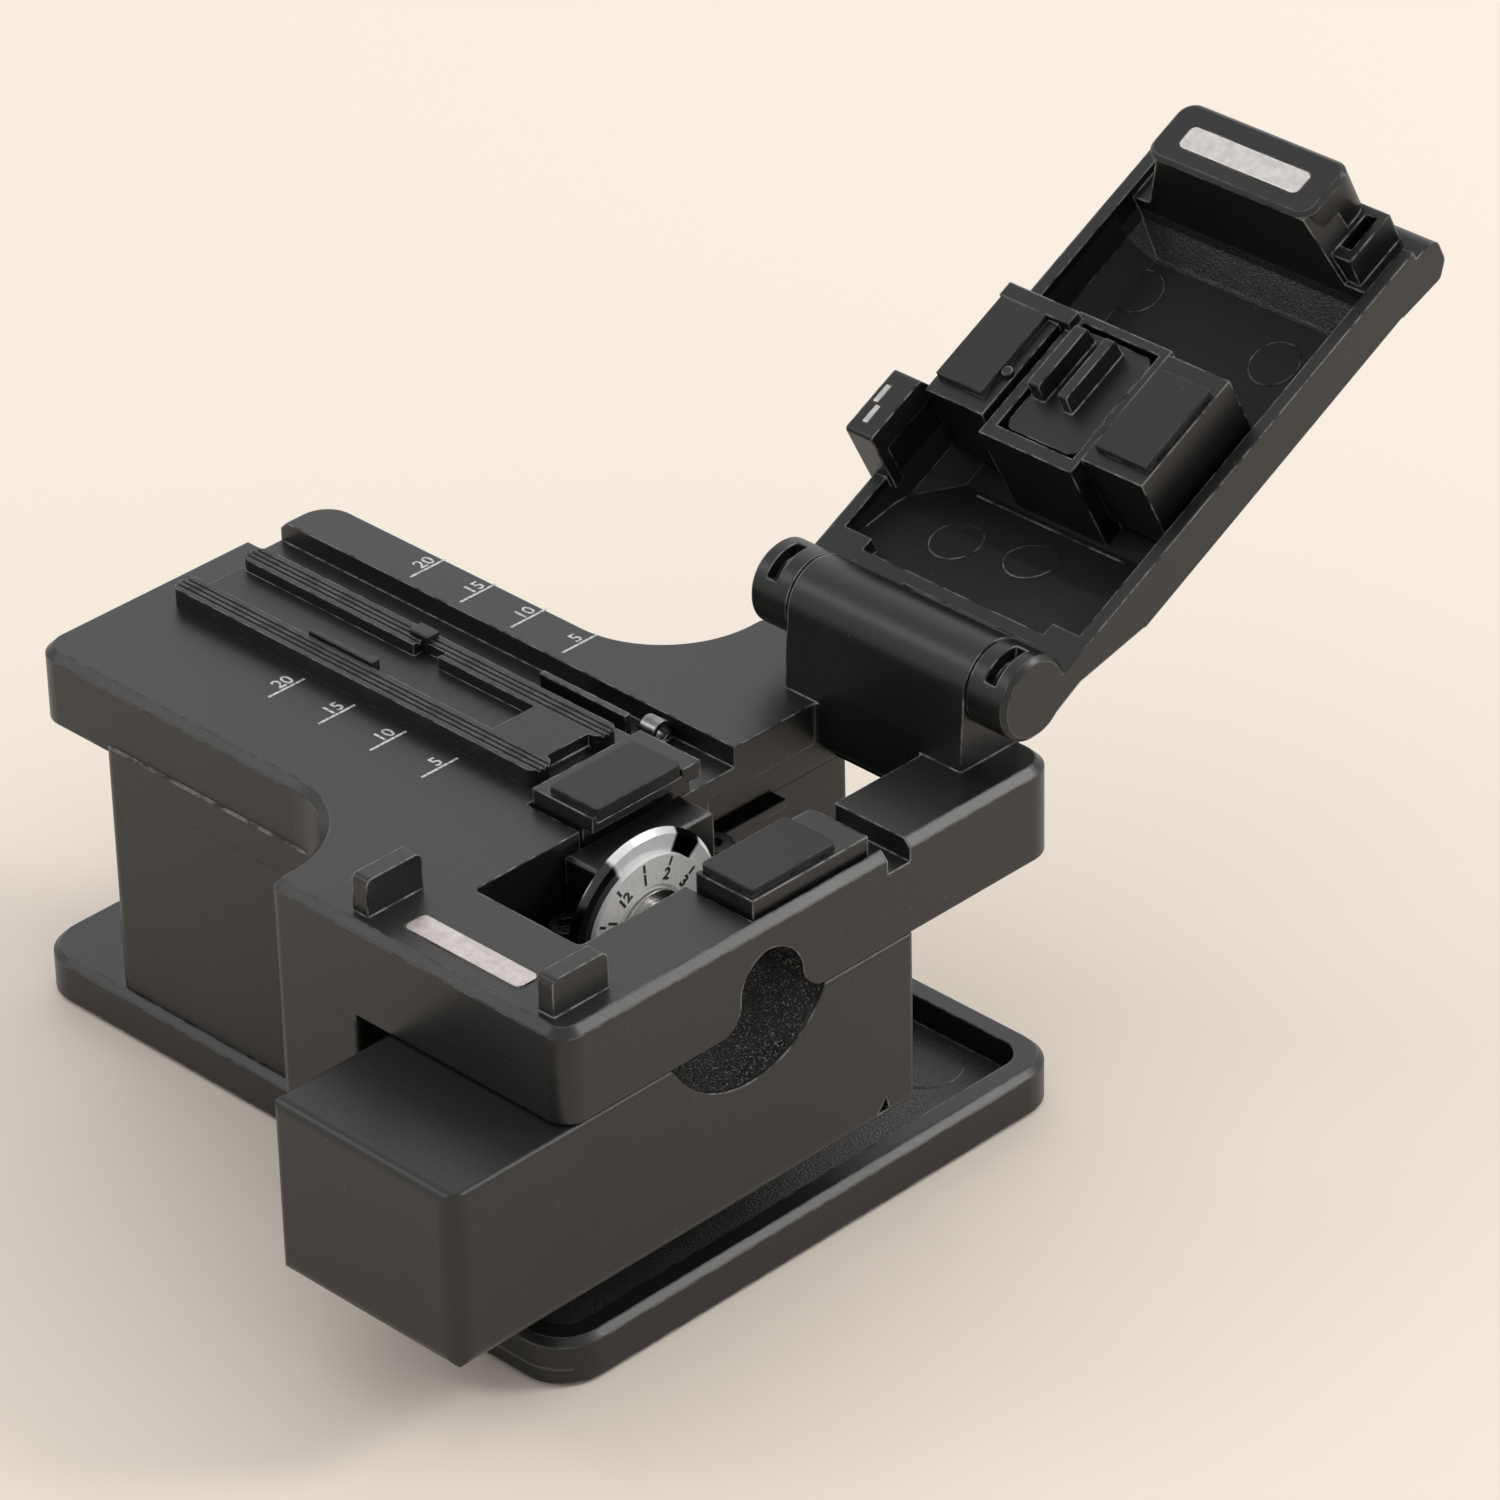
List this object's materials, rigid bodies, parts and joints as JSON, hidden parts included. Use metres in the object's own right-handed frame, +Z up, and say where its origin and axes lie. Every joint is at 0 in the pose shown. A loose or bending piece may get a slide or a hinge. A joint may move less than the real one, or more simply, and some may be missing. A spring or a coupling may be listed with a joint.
{
  "type": "fibre cleaver",
  "caption": "Bench fibre cleaver: a T-shaped deck that holds an optical fibre, a sliding carriage with a round blade under it and a hinged clamp lid.",
  "frame": {"origin": "centre of the base plate's footprint, on the surface that the anti-slip sheet stands on", "axes": "+X along the fibre, from the stage's free end towards the head; +Y from the slider's handle end towards the hinge; +Z up"},
  "size_m": [0.0629, 0.0936, 0.0576],
  "materials": {
    "black_metal": "satin black powder coat on die-cast metal",
    "black_plastic": "fine matt black moulding",
    "rubber_foot": "matt black rubber",
    "pad_rubber": "matt dark rubber",
    "magnet": "nickel-plated magnet",
    "black_screw": "black oxide",
    "bare_steel": "ground steel",
    "blade": "polished tungsten carbide",
    "dial": "satin silver with engraved numbers"
  },
  "bodies": {
    "base": {"base_plate": "black_metal", "base_mat": "rubber_foot", "case_screws": "black_screw", "lower_body": "black_metal", "deck": "black_metal", "deck_magnet": "magnet", "fibre_guide": "black_plastic", "guide_screws": "black_screw", "left_clamp_block": "black_metal", "left_clamp_pad": "pad_rubber", "right_clamp_block": "black_metal", "right_clamp_pad": "pad_rubber", "channel_clip": "bare_steel", "linear_rail": "bare_steel", "rail_screws": "black_screw", "rail_stops": "bare_steel"},
    "slider": {"slider": "black_metal", "rail_carriage": "bare_steel", "carriage_screws": "black_screw", "blade_holder": "black_metal", "holder_screws": "black_screw", "blade_washer": "bare_steel", "blade_screw": "black_screw"},
    "blade": {"blade_disc": "blade", "blade_hub": "bare_steel", "blade_dial": "dial"},
    "lid": {"lid_shell": "black_metal", "hinge_pin": "bare_steel", "lid_magnet": "magnet", "arm_inserts": "bare_steel", "anvil_block": "black_metal", "anvil_screws": "black_screw", "lid_left_pad": "pad_rubber", "lid_right_pad": "pad_rubber", "anvil_spring": "bare_steel"},
    "anvil": {"bend_anvil": "black_metal"}
  },
  "joints": [
    {"name": "lid_hinge", "type": "hinge", "parent": "base", "child": "lid", "pos_m": [0.0202, 0.01985, 0.0336], "axis": [1, 0, 0], "range_deg": [0, 153]},
    {"name": "slider_travel", "type": "slide", "parent": "base", "child": "slider", "axis": [0, 1, 0], "range_m": [0, 0.01]},
    {"name": "blade_index", "type": "hinge", "parent": "slider", "child": "blade", "pos_m": [0.0195, -0.00455, 0.02235], "axis": [1, 0, 0], "continuous": true},
    {"name": "anvil_press", "type": "slide", "parent": "lid", "child": "anvil", "axis": [0, 0.454, -0.891], "range_m": [0, 0.001], "stiffness_N_per_m": 300, "springref_m": -0.001, "deforming": ["anvil_spring"]}
  ]
}
